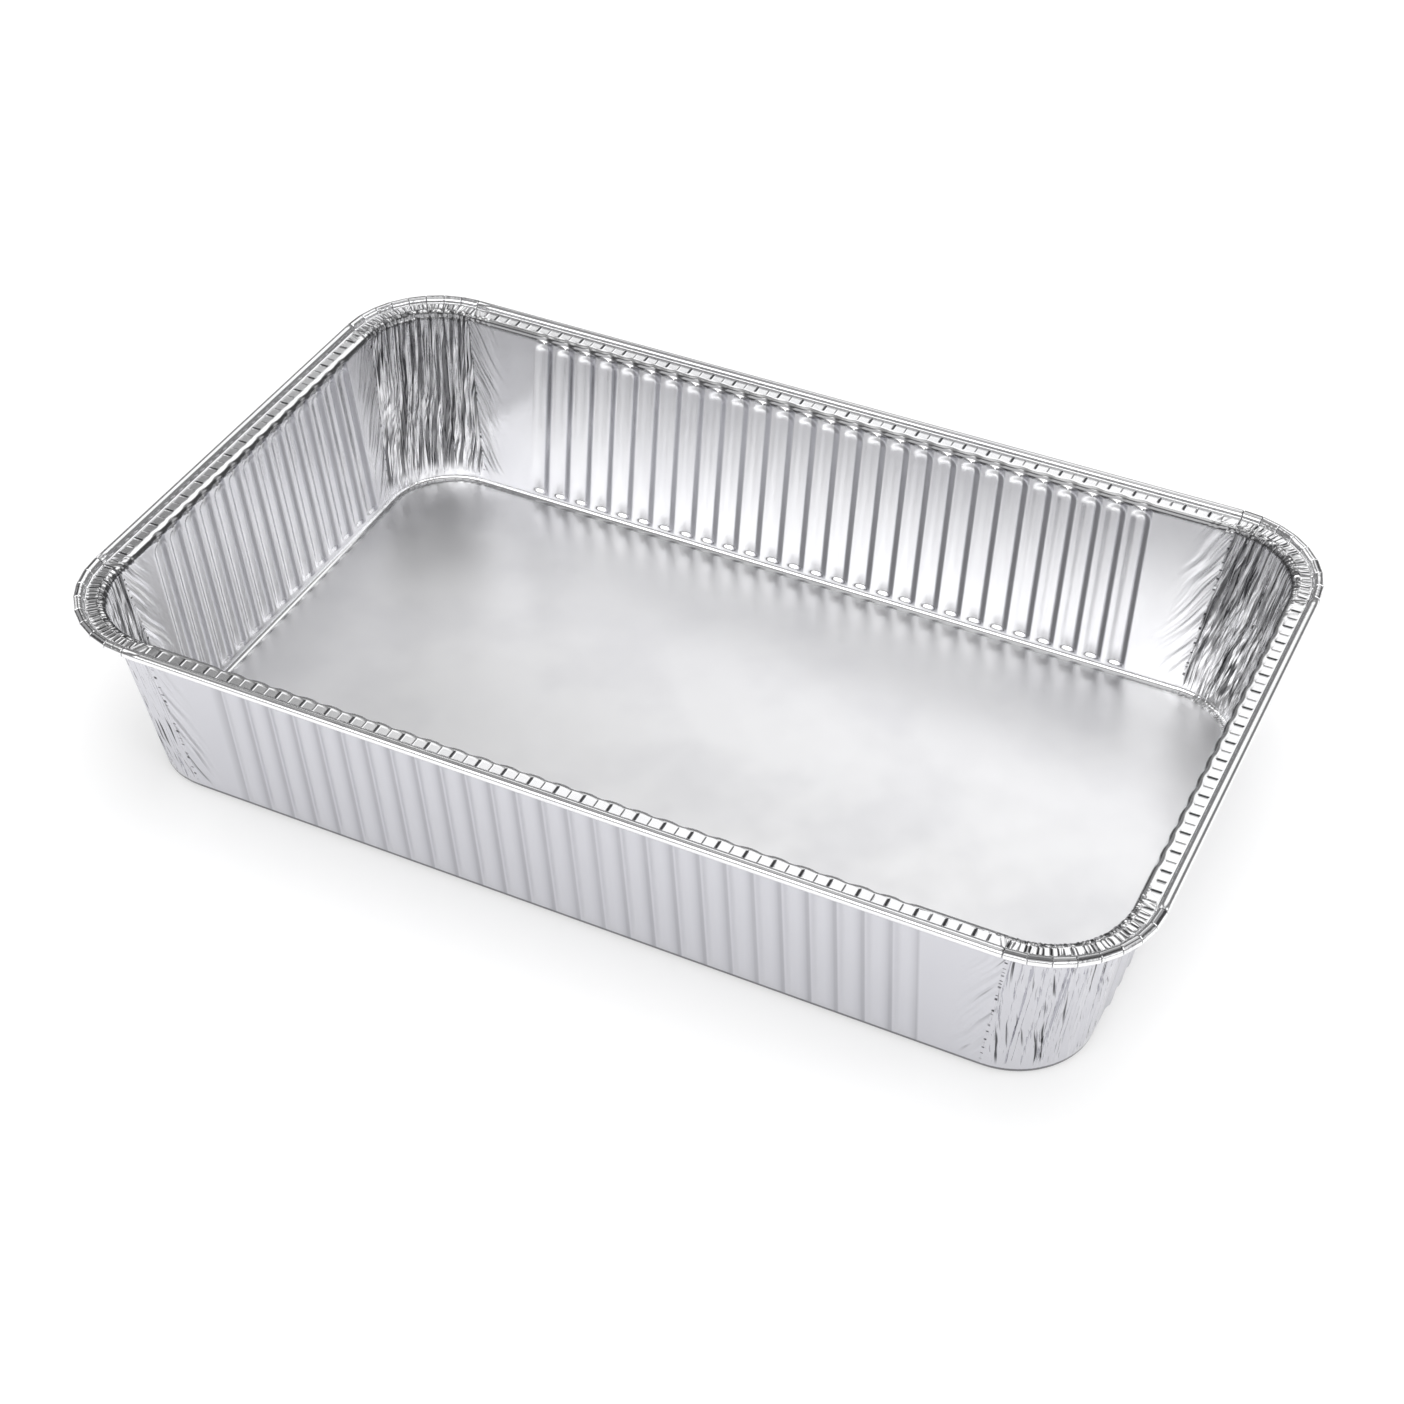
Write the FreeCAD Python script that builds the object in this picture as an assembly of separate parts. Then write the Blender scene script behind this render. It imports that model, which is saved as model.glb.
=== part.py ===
import FreeCAD, Part
import math
import os

from FreeCAD import Vector

# Foil roasting pan, pressed and rolled from one sheet of aluminium foil.
# Millimetres, +Z up, the origin under the middle of the base.

doc = FreeCAD.newDocument("foil_roasting_pan")
sheet = doc.addObject("Spreadsheet::Sheet", "sizes")

SIZES = (
    ("overall_length", 527.0, "outer edge to outer edge of the rolled rim, long way"),
    ("overall_width", 329.0, "outer edge to outer edge of the rolled rim, short way"),
    ("overall_height", 100.5, "base to the top of the rolled rim"),
    ("foil_thickness", 0.4, "thickness of the modelled sheet"),
    ("rim_corner_radius", 52.0, "outer edge of the rolled rim, in plan"),
    ("rim_reach", 14.0, "wall to the outer edge of the rim"),
    ("roll_radius", 2.4, "outer radius of the rolled edge"),
    ("roll_rise", 3.0, "top of the roll above the flange"),
    ("roll_turn", 312.0, "degrees that the rolled edge turns through"),
    ("roll_facet", 30.0, "degrees of turn to each flat strip of the rolled edge"),
    ("rim_creases", 8, "short lengths that the rim is creased into at a corner"),
    ("groove_radius", 0.8, "hollow between flange and roll"),
    ("wall_taper", 11.9, "how far each wall leans in from flange to base"),
    ("base_corner_radius", 38.0, "corner of the base, in plan"),
    ("base_bend", 3.0, "size of the bend between base and wall"),
    ("shoulder_bend", 2.4, "size of the bend between wall and flange"),
    ("rib_pitch", 12.7, "middle to middle of the wall ribs"),
    ("rib_width", 10.4, "width of a rib where it leaves the wall"),
    ("rib_depth", 1.3, "how far a rib stands out of the wall"),
    ("rib_flank", 3.0, "width of a rib's sloping side"),
    ("rib_foot_slope", 1.4, "height of a rib's sloping foot"),
    ("rib_head_gap", 1.2, "plain wall between a rib's round head and the shoulder bend"),
    ("rib_foot_gap", 0.6, "plain wall between a rib's foot and the base bend"),
    ("long_wall_plain", 27.0, "least plain wall beyond the last rib of a long wall"),
    ("short_wall_plain", 11.0, "least plain wall beyond the last rib of a short wall"),
    ("corner_gathers", 12, "gathers pressed into each corner"),
    ("gather_depth", 1.8, "depth of the deepest gather"),
    ("pleat_pitch", 6.35, "middle to middle of the pinched pleats on the flange"),
    ("pleat_width", 1.5, "width of a pinched pleat"),
    ("pleat_height", 0.45, "how far a pinched pleat stands up"),
    ("pleat_margin", 0.7, "plain flange at each end of a pleat"),
)

for line, (alias, number, note) in enumerate(SIZES, start=1):
    sheet.set("A%d" % line, alias)
    sheet.set("B%d" % line, str(number))
    sheet.set("C%d" % line, note)
    sheet.setAlias("B%d" % line, alias)
doc.recompute()


def size(alias):
    return float(sheet.get(alias))


# Values worked out from the driving sizes

HALF_LENGTH = size("overall_length") / 2
HALF_WIDTH = size("overall_width") / 2
FOIL = size("foil_thickness")
FLANGE_TOP = size("overall_height") - size("roll_rise")
FLANGE_UNDER = FLANGE_TOP - FOIL
WALL_TOP_RADIUS = size("rim_corner_radius") - size("rim_reach")
BASE_INSET = size("rim_reach") + size("wall_taper")
GATHERS = int(size("corner_gathers"))
HEAD_FACETS = 4
GROOVE_FACETS = 2
UP = Vector(0, 0, 1)

# Corner number, its signs in plan and the angle at which it starts
CORNERS = ((1, 1, 0), (-1, 1, 90), (-1, -1, 180), (1, -1, 270))


def wall_inset(height):
    """Distance from the rim's outer edge in to the wall's outer skin."""
    return BASE_INSET - size("wall_taper") * height / FLANGE_UNDER


def wall_radius(height):
    """Corner radius of the wall's outer skin in plan."""
    base = size("base_corner_radius")
    return base + (WALL_TOP_RADIUS - base) * height / FLANGE_UNDER


# The bent section, from the base out to the flange: outer skin and, one foil in, inner skin

def section_rows():
    """(inset, height, corner radius, gather share) for each bend line of the outer skin."""
    lean = math.atan2(size("wall_taper"), FLANGE_UNDER)
    base_bend = size("base_bend")
    shoulder = size("shoulder_bend")
    foot = base_bend * math.cos(lean)
    head = FLANGE_UNDER - shoulder * math.cos(lean)
    rows = []
    rows.append((wall_inset(0) + base_bend, 0.0, 0.35))
    rows.append((wall_inset(0) + base_bend * 0.28, base_bend * 0.22, 0.5))
    rows.append((wall_inset(foot), foot, 0.7))
    waist = foot + (head - foot) * 0.55
    rows.append((wall_inset(waist), waist, 1.0))
    rows.append((wall_inset(head), head, 0.8))
    rows.append((wall_inset(FLANGE_UNDER) - shoulder * 0.26, FLANGE_UNDER - shoulder * 0.22, 0.6))
    rows.append((wall_inset(FLANGE_UNDER) - shoulder, FLANGE_UNDER, 0.45))
    return rows


def offset_rows(rows, distance):
    """The same bend lines, moved square to the sheet towards the inside of the pan."""
    points = [(-inset, height) for inset, height, _ in rows]
    before = (points[0][0] - size("base_bend"), points[0][1])
    after = (points[-1][0] + size("shoulder_bend"), points[-1][1])
    chain = [before] + points + [after]
    moved = []
    for number in range(1, len(chain) - 1):
        normals = []
        for a, b in ((chain[number - 1], chain[number]), (chain[number], chain[number + 1])):
            run, rise = b[0] - a[0], b[1] - a[1]
            length = math.hypot(run, rise)
            normals.append((-rise / length, run / length))
        mitre = 1 + normals[0][0] * normals[1][0] + normals[0][1] * normals[1][1]
        out = chain[number][0] + distance * (normals[0][0] + normals[1][0]) / mitre
        height = chain[number][1] + distance * (normals[0][1] + normals[1][1]) / mitre
        moved.append((-out, height, rows[number - 1][2]))
    return moved


def corner_line(row, outer_row, corner):
    """Points of one bend line round one corner, folded in and out by the gathers."""
    inset, height, share = row
    outer_inset, outer_height, _ = outer_row
    radius = wall_radius(outer_height) - (inset - outer_inset)
    sign_x, sign_y, start = CORNERS[corner]
    centre_x = sign_x * (HALF_LENGTH - inset - radius)
    centre_y = sign_y * (HALF_WIDTH - inset - radius)
    level = outer_height / FLANGE_UNDER
    points = []
    folds = 2 * GATHERS
    for fold in range(folds + 1):
        depth, drift = 0.0, 0.0
        if fold % 2:
            unevenness = 0.72 + 0.28 * math.sin(2.3 * fold + 1.7 * corner + 2.1 * level)
            depth = size("gather_depth") * share * unevenness
        if 0 < fold < folds:
            drift = 0.22 * math.sin(3.1 * fold + 2.6 * corner + 5.0 * level)
        angle = math.radians(start + 90.0 * (fold + drift) / folds)
        reach = radius - depth
        points.append(Vector(centre_x + reach * math.cos(angle), centre_y + reach * math.sin(angle), height))
    return points


def closed_wire(points):
    return Part.makePolygon(list(points) + [points[0]])


def polygon(points):
    return Part.Face(closed_wire(points))


def folded_band(low, high):
    """Creased facets between two bend lines round a corner."""
    facets = []
    for fold in range(len(low) - 1):
        a, b = low[fold], low[fold + 1]
        c, d = high[fold + 1], high[fold]
        if fold % 2:
            facets.append(polygon([a, b, c]))
            facets.append(polygon([a, c, d]))
        else:
            facets.append(polygon([a, b, d]))
            facets.append(polygon([b, c, d]))
    return facets


# Ribs: long pads with sloping sides, a round head and a square foot

def rib_outline(place, along, upslope, half_width, foot, head):
    """Outline of a rib from its left foot round by its right foot and its round head."""
    points = [place - along * half_width + upslope * foot, place + along * half_width + upslope * foot]
    centre = place + upslope * head
    for step in range(HEAD_FACETS + 1):
        turn = math.pi * step / HEAD_FACETS
        points.append(centre + along * (half_width * math.cos(turn)) + upslope * (half_width * math.sin(turn)))
    return points


def loop_pairs(points):
    return list(zip(points, points[1:] + points[:1]))


def ribbed_wall(near_lines, far_lines, plain, side_trim, foot_trim):
    """One flat wall between two corners, with as many ribs standing outwards as its length takes."""
    border = [line[-1] for line in near_lines] + [line[0] for line in reversed(far_lines)]
    run = far_lines[0][0] - near_lines[0][-1]
    along = Vector(run).normalize()
    count = max(0, int((run.Length - 2 * plain) / size("rib_pitch")))
    foot_middle = (near_lines[0][-1] + far_lines[0][0]) * 0.5
    head_middle = (near_lines[-1][-1] + far_lines[-1][0]) * 0.5
    slope = head_middle - foot_middle
    upslope = Vector(slope).normalize()
    lift = along.cross(upslope) * size("rib_depth")
    half_width = size("rib_width") / 2 - side_trim
    flank = size("rib_flank")
    foot = size("rib_foot_gap") + foot_trim
    head = slope.Length - size("rib_head_gap") - size("rib_width") / 2
    faces, outlines = [], [closed_wire(border)]
    for number in range(count):
        place = foot_middle + along * ((number - (count - 1) / 2) * size("rib_pitch"))
        root = rib_outline(place, along, upslope, half_width, foot, head)
        crest = rib_outline(place + lift, along, upslope, half_width - flank, foot + size("rib_foot_slope"), head)
        for (a, b), (d, c) in zip(loop_pairs(root), loop_pairs(crest)):
            faces.append(polygon([a, b, c, d]))
        faces.append(polygon(crest))
        outlines.append(closed_wire(root))
    faces.append(Part.makeFace(outlines, "Part::FaceMakerBullseye"))
    return faces


def skin(rows, outer_rows, inward):
    """Base, bends, walls and shoulder of the skin this far inside the outer one, with its inner flange line."""
    side_trim = inward * math.tan(math.atan2(size("rib_depth"), size("rib_flank")) / 2)
    foot_trim = inward * math.tan(math.atan2(size("rib_depth"), size("rib_foot_slope")) / 2)
    lines = []
    for row, outer_row in zip(rows, outer_rows):
        lines.append([corner_line(row, outer_row, corner) for corner in range(4)])
    faces = []
    for low, high in zip(lines, lines[1:]):
        for corner in range(4):
            faces += folded_band(low[corner], high[corner])
    wall_levels = range(len(rows))[2:-2]
    bends = [level for level in range(len(rows) - 1) if level not in wall_levels[:-1]]
    for level in bends:
        for corner in range(4):
            following = (corner + 1) % 4
            low, high = lines[level], lines[level + 1]
            faces.append(polygon([low[corner][-1], low[following][0], high[following][0], high[corner][-1]]))
    for corner in range(4):
        following = (corner + 1) % 4
        here = [lines[level][corner] for level in wall_levels]
        there = [lines[level][following] for level in wall_levels]
        plain = size("short_wall_plain") if corner % 2 else size("long_wall_plain")
        faces += ribbed_wall(here, there, plain, side_trim, foot_trim)
    base = []
    for corner in range(4):
        base += lines[0][corner]
    faces.append(polygon(base))
    return faces, lines[-1]


# Rolled rim: the hollow beside the flange, then the roll, creased into short lengths at the corners

ROLL_HEIGHT = size("overall_height") - size("roll_radius")
GROOVE_HEIGHT = FLANGE_TOP + size("groove_radius")
GROOVE_DROP = GROOVE_HEIGHT - ROLL_HEIGHT
GROOVE_SPAN = math.sqrt((size("roll_radius") + size("groove_radius")) ** 2 - GROOVE_DROP ** 2)
GROOVE_INSET = size("roll_radius") + GROOVE_SPAN
MEETING_ANGLE = math.degrees(math.atan2(GROOVE_DROP, GROOVE_SPAN))


def turn_steps(start, end):
    """Angles from start down to end, stopping at each whole facet between them."""
    facet = size("roll_facet")
    first = math.ceil(start / facet) - 1
    last = math.floor(end / facet) + 1
    return [start] + [facet * k for k in range(first, last - 1, -1)] + [end]


def roll_section(inward):
    """(inset, height) of the hollow and the roll, for the skin this far inside the upper one."""
    hollow = size("groove_radius") + inward
    radius = size("roll_radius") - inward
    start = 180.0 - MEETING_ANGLE
    section = []
    for step in range(GROOVE_FACETS):
        turn = math.radians(90.0 - (90.0 - MEETING_ANGLE) * step / GROOVE_FACETS)
        section.append((GROOVE_INSET - hollow * math.cos(turn), GROOVE_HEIGHT - hollow * math.sin(turn)))
    for degrees in turn_steps(start, start - size("roll_turn")):
        turn = math.radians(degrees)
        section.append((size("roll_radius") - radius * math.cos(turn), ROLL_HEIGHT + radius * math.sin(turn)))
    return section


def rim_corner_centre(corner):
    sign_x, sign_y, _ = CORNERS[corner]
    radius = size("rim_corner_radius")
    return Vector(sign_x * (HALF_LENGTH - radius), sign_y * (HALF_WIDTH - radius), 0)


def compass(corner, share):
    """Level unit vector at a share of the quarter turn round one corner."""
    angle = math.radians(CORNERS[corner][2] + 90.0 * share)
    return Vector(math.cos(angle), math.sin(angle), 0)


def rim_line(inset, height):
    """One line of the rim all the way round, as a list of creased points for each corner."""
    creases = int(size("rim_creases"))
    reach = size("rim_corner_radius") - inset
    lines = []
    for corner in range(4):
        centre = rim_corner_centre(corner) + UP * height
        lines.append([centre + compass(corner, k / creases) * reach for k in range(creases + 1)])
    return lines


def rim_band(low, high):
    """Flat facets between two rim lines."""
    faces = []
    for corner in range(4):
        following = (corner + 1) % 4
        below = low[corner] + [low[following][0]]
        above = high[corner] + [high[following][0]]
        for k in range(len(below) - 1):
            faces.append(polygon([below[k], below[k + 1], above[k + 1], above[k]]))
    return faces


def rim_faces():
    """Both skins of the hollow and the roll, joined at the sheet's cut edge."""
    section = roll_section(0.0) + roll_section(FOIL)[::-1]
    lines = [rim_line(inset, height) for inset, height in section]
    faces = []
    for low, high in zip(lines, lines[1:]):
        faces += rim_band(low, high)
    return faces


# Flange: flat, with pinched pleats standing on its upper skin

def flange_inner_inset():
    return offset_rows(section_rows(), FOIL)[-1][0]


def pleat(middle, across, along, span):
    """Root outline and the four facets of one pinched pleat, across the flange."""
    inner = middle - across * (span / 2)
    outer = middle + across * (span / 2)
    left = middle - along * (size("pleat_width") / 2)
    right = middle + along * (size("pleat_width") / 2)
    peak = middle + UP * size("pleat_height")
    corners = [inner, right, outer, left]
    return closed_wire(corners), [polygon([a, b, peak]) for a, b in loop_pairs(corners)]


def flange_faces(inner_line, height, pleated):
    """Flat flange of one skin, as four corners and four sides."""
    faces = []
    outer_line = rim_line(GROOVE_INSET, height)
    margin = size("pleat_margin")
    first = GROOVE_INSET + margin
    last = flange_inner_inset() - margin
    for corner in range(4):
        following = (corner + 1) % 4
        centre = rim_corner_centre(corner) + UP * height
        far_centre = rim_corner_centre(following) + UP * height
        corner_outlines = [closed_wire(inner_line[corner] + outer_line[corner][::-1])]
        side_border = [inner_line[corner][-1], inner_line[following][0],
                       outer_line[following][0], outer_line[corner][-1]]
        side_outlines = [closed_wire(side_border)]
        if pleated:
            for number in range(GATHERS):
                arm = compass(corner, (number + 0.5) / GATHERS)
                middle = centre + arm * (size("rim_corner_radius") - (first + last) / 2)
                root, facets = pleat(middle, arm, UP.cross(arm), last - first)
                corner_outlines.append(root)
                faces += facets
            outward = compass(corner, 1.0)
            run = far_centre - centre
            along = Vector(run).normalize()
            origin = (centre + far_centre) * 0.5 + outward * (size("rim_corner_radius") - (first + last) / 2)
            count = int((run.Length - size("pleat_width")) / size("pleat_pitch"))
            for number in range(count):
                middle = origin + along * ((number - (count - 1) / 2) * size("pleat_pitch"))
                root, facets = pleat(middle, outward, along, last - first)
                side_outlines.append(root)
                faces += facets
        faces.append(Part.makeFace(corner_outlines, "Part::FaceMakerBullseye"))
        faces.append(Part.makeFace(side_outlines, "Part::FaceMakerBullseye"))
    return faces


def pan_shape():
    """The whole pressed sheet as one closed solid."""
    outer_rows = section_rows()
    inner_rows = offset_rows(outer_rows, FOIL)
    outer_faces, outer_line = skin(outer_rows, outer_rows, 0.0)
    inner_faces, inner_line = skin(inner_rows, outer_rows, FOIL)
    faces = outer_faces + inner_faces + rim_faces()
    faces += flange_faces(outer_line, FLANGE_UNDER, False)
    faces += flange_faces(inner_line, FLANGE_TOP, True)
    sewn = Part.makeCompound(faces)
    sewn.sewShape()
    solid = Part.Solid(sewn.Shells[0])
    if solid.Volume < 0:
        solid.reverse()
    return solid


pan = doc.addObject("Part::Feature", "foil_pan")
pan.Label = "foil_pan"
pan.Shape = pan_shape()
pan.Placement = FreeCAD.Placement()
doc.recompute()

parts = [pan]
for item in doc.Objects:
    if "Invalid" in item.State or "Error" in item.State:
        raise RuntimeError("%s did not build" % item.Name)
for item in parts:
    if item.Shape.isNull() or not item.Shape.isValid():
        raise RuntimeError("%s has no valid solid" % item.Label)

os.makedirs("parts", exist_ok=True)
for item in parts:
    item.Shape.exportStep(os.path.join("parts", item.Label + ".step"))
    box = item.Shape.BoundBox
    print(item.Label, "volume", round(item.Shape.Volume, 1), "solids", len(item.Shape.Solids),
          "box", round(box.XLength, 2), round(box.YLength, 2), round(box.ZLength, 2))
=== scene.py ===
"""Foil roasting pan: the pressed, ribbed and rolled sheet, its foil finish and a plain studio."""

import math
from functools import partialmethod
from itertools import product

import bpy
import numpy as np
from bpy.props import FloatProperty, FloatVectorProperty, IntProperty, PointerProperty
from mathutils import Matrix, Vector


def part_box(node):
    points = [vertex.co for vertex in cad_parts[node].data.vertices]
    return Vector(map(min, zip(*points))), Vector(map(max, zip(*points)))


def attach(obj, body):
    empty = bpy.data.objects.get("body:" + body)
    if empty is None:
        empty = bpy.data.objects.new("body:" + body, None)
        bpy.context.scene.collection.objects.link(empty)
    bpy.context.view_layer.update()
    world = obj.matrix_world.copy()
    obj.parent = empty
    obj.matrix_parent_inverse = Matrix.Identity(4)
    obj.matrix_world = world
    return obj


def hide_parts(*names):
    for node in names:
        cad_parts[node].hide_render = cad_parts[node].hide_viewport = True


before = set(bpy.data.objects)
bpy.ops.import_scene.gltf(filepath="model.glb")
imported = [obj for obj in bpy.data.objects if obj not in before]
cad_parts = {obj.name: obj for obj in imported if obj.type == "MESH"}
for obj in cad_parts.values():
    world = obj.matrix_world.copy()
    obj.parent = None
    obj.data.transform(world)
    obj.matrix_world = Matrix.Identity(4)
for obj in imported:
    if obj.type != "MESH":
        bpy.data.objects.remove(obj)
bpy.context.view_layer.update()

bl_info = {
    "name": "Foil Roasting Pan",
    "version": (1, 0, 0),
    "blender": (4, 5, 0),
    "location": "3D View > Sidebar > Foil Pan",
    "description": "Builds a deep ribbed roasting pan of pressed foil and a plain studio to look at it in",
    "category": "Add Mesh",
}

MM = 0.001
QUARTER = math.radians(90)
BANDS = ("walls", "flange", "rim")
PAN_LOW, PAN_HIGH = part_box("foil_pan")

# Sides in order round the pan, seen from above: outward direction and direction of travel
SIDES = (((0, -1), (1, 0)), ((1, 0), (0, 1)), ((0, 1), (-1, 0)), ((-1, 0), (0, -1)))


def length(name, default, text):
    return FloatProperty(name=name, description=text, default=default, min=0.0, unit="LENGTH", precision=5)


def share(name, default, text):
    return FloatProperty(name=name, description=text, default=default, min=0.0, max=1.0, subtype="FACTOR")


def power(name, default, text):
    return FloatProperty(name=name, description=text, default=default, min=0.0, unit="POWER")


def count(name, default, text):
    return IntProperty(name=name, description=text, default=default, min=1)


def colour(name, default, text):
    return FloatVectorProperty(
        name=name, description=text, default=default, size=3, min=0.0, max=1.0, subtype="COLOR")


class PanSizes(bpy.types.PropertyGroup):
    overall_length: length("Length", PAN_HIGH.x - PAN_LOW.x, "Over the rolled rim, long way")
    overall_width: length("Width", PAN_HIGH.y - PAN_LOW.y, "Over the rolled rim, short way")
    overall_height: length("Height", PAN_HIGH.z - PAN_LOW.z, "Base to the top of the rolled rim")
    foil: length("Foil", 0.4 * MM, "Thickness of the sheet")
    corner_radius: length("Corner radius", 38 * MM, "Corner of the wall, in plan")
    rim_corner_radius: length("Rim corner radius", 52 * MM, "Outer edge of the rim, in plan")
    rim_reach: length("Rim reach", 14 * MM, "Wall to the outer edge of the rim")
    wall_taper: length("Wall taper", 11.9 * MM, "How far each wall leans in from flange to base")
    base_bend: length("Base bend", 3.2 * MM, "Radius between base and wall")
    shoulder_bend: length("Shoulder bend", 2.9 * MM, "Radius between wall and flange")
    roll_radius: length("Roll radius", 2.4 * MM, "Outer radius of the rolled edge")
    roll_rise: length("Roll rise", 3.0 * MM, "Top of the roll above the flange")
    roll_turn: FloatProperty(
        name="Roll turn", description="How far the edge is rolled",
        default=math.radians(312), subtype="ANGLE")
    groove_radius: length("Groove radius", 0.8 * MM, "Hollow between flange and roll")


class PressedRelief(bpy.types.PropertyGroup):
    rib_pitch: length("Rib pitch", 12.7 * MM, "Middle to middle of the wall ribs")
    long_ribs: count("Long wall ribs", 27, "Ribs on each long wall")
    short_ribs: count("Short wall ribs", 14, "Ribs on each short wall")
    rib_width: length("Rib width", 10.4 * MM, "Width of a rib where it leaves the wall")
    rib_depth: length("Rib depth", 1.3 * MM, "How far a rib stands out of the wall")
    rib_flank: length("Rib flank", 3.0 * MM, "Width of a rib's sloping side")
    rib_crown: length("Rib crown", 0.12 * MM, "How much the face of a rib bulges")
    head_gap: length("Head gap", 1.2 * MM, "Plain wall above a rib's round head")
    scallop: length("Scallop", 0.8 * MM, "How far a rib's head pushes into the shoulder")
    corner_folds: count("Corner folds", 56, "Creases pressed into each corner")
    fold_depth: length("Fold depth", 1.1 * MM, "Depth of the corner creases")
    corner_sway: length("Corner sway", 0.9 * MM, "Slow in and out of the gathered corner")
    fan_depth: length("Fan depth", 0.5 * MM, "Creases that fan out of a corner into the plain wall")
    pleat_height: length("Pleat height", 0.45 * MM, "Pinched pleats across the flange")
    corner_pleats: count("Corner pleats", 26, "Pleats of the flange round a corner")
    rim_creases: count("Rim creases", 8, "Short lengths that the roll is creased into at a corner")
    rim_notch: length("Rim notch", 0.45 * MM, "Depth of a crease across the roll")
    seed: IntProperty(name="Seed", description="Changes the unevenness of the creases", default=7)


class FoilLook(bpy.types.PropertyGroup):
    bright: colour("Bright side", (0.91, 0.91, 0.92), "Shiny side of the foil, inside the pan")
    satin: colour("Satin side", (0.65, 0.65, 0.685), "Duller side of the foil, outside the pan")
    # Painted shade along the ribs: between two ribs outside, and on one flank of each rib inside
    rib_shade: colour("Valley", (0.46, 0.46, 0.49), "Duller lines along the ribs")
    shoulder_shade: share("Shoulder shade", 0.8, "Dark line at the wall's top, and round the base's edge")
    streak_shade: share("Streak shade", 0.84, "Dark streaks of the gathered corners, inside the pan")
    # The colour that all painted shade darkens towards
    fold_shade: colour("Fold shade", (0.035, 0.035, 0.04), "Inside of a tight fold")
    bright_roughness: share("Bright roughness", 0.20, "Inside of the walls")
    base_roughness: share("Base roughness", 0.38, "Inside of the base")
    satin_roughness: share("Satin roughness", 0.34, "Outside of the walls")
    crease_roughness: share("Crease roughness", 0.13, "Creased corners, flange and roll")
    wrinkle: share("Wrinkle", 0.5, "Strength of the fine wrinkles")


class StudioLook(bpy.types.PropertyGroup):
    floor: colour("Floor", (0.94, 0.94, 0.94), "Pale floor")
    glow: share("Floor glow", 0.45, "How much of the floor's white is its own")
    top_light: power("Top light", 37.0, "Overhead soft light")
    side_light: power("Side light", 8.0, "Soft light from the camera's right")
    surround: share("Surround", 0.20, "Brightness of the room")


def settings(context, name):
    return getattr(context.scene, "foil_pan_" + name)


# Section of the pan, from the base out to the cut edge inside the roll. First where its lines are:
# millimetres up from the wall's foot and down from the ribs' heads, shares of the flange's width, and numbers
# of steps. Then the "up" of a row, its way up the wall, counted on past both ends so that each row has its own

WALL_FOOT_LINES = (0.6, 1.4, 2.3, 3.2, 11.0, 24.0, 37.0, 50.0, 63.0, 76.0)
RIB_HEAD_LINES = (6.4, 5.2, 4.2, 3.2, 2.3, 1.2, 0.0)
FLANGE_LINES = (0.12, 0.25, 0.45, 0.65, 0.82, 0.93)
BEND_STEPS, GROOVE_STEPS, ROLL_STEPS = 4, 4, 17
BASE_RING, BASE_UP = 2 * MM, -6.6 * MM
BEND_UP_STEP, SHOULDER_UP_STEP, GROOVE_UP_STEP, ROLL_UP_STEP = 1.15 * MM, 1.0 * MM, 0.5 * MM, 1.0 * MM
FLANGE_UP, GROOVE_UP, ROLL_UP = 4 * MM, 14 * MM, 16 * MM


class Row:
    """One line round the pan: how far in, how high, its corner radius and which way the outer skin faces."""

    def __init__(self, point, radius, facing, zone, up, band="walls", share=0.0):
        self.inset, self.height, self.radius = -point[0], point[1], radius
        self.facing, self.zone, self.up, self.band, self.share = facing, zone, up, band, share


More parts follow.
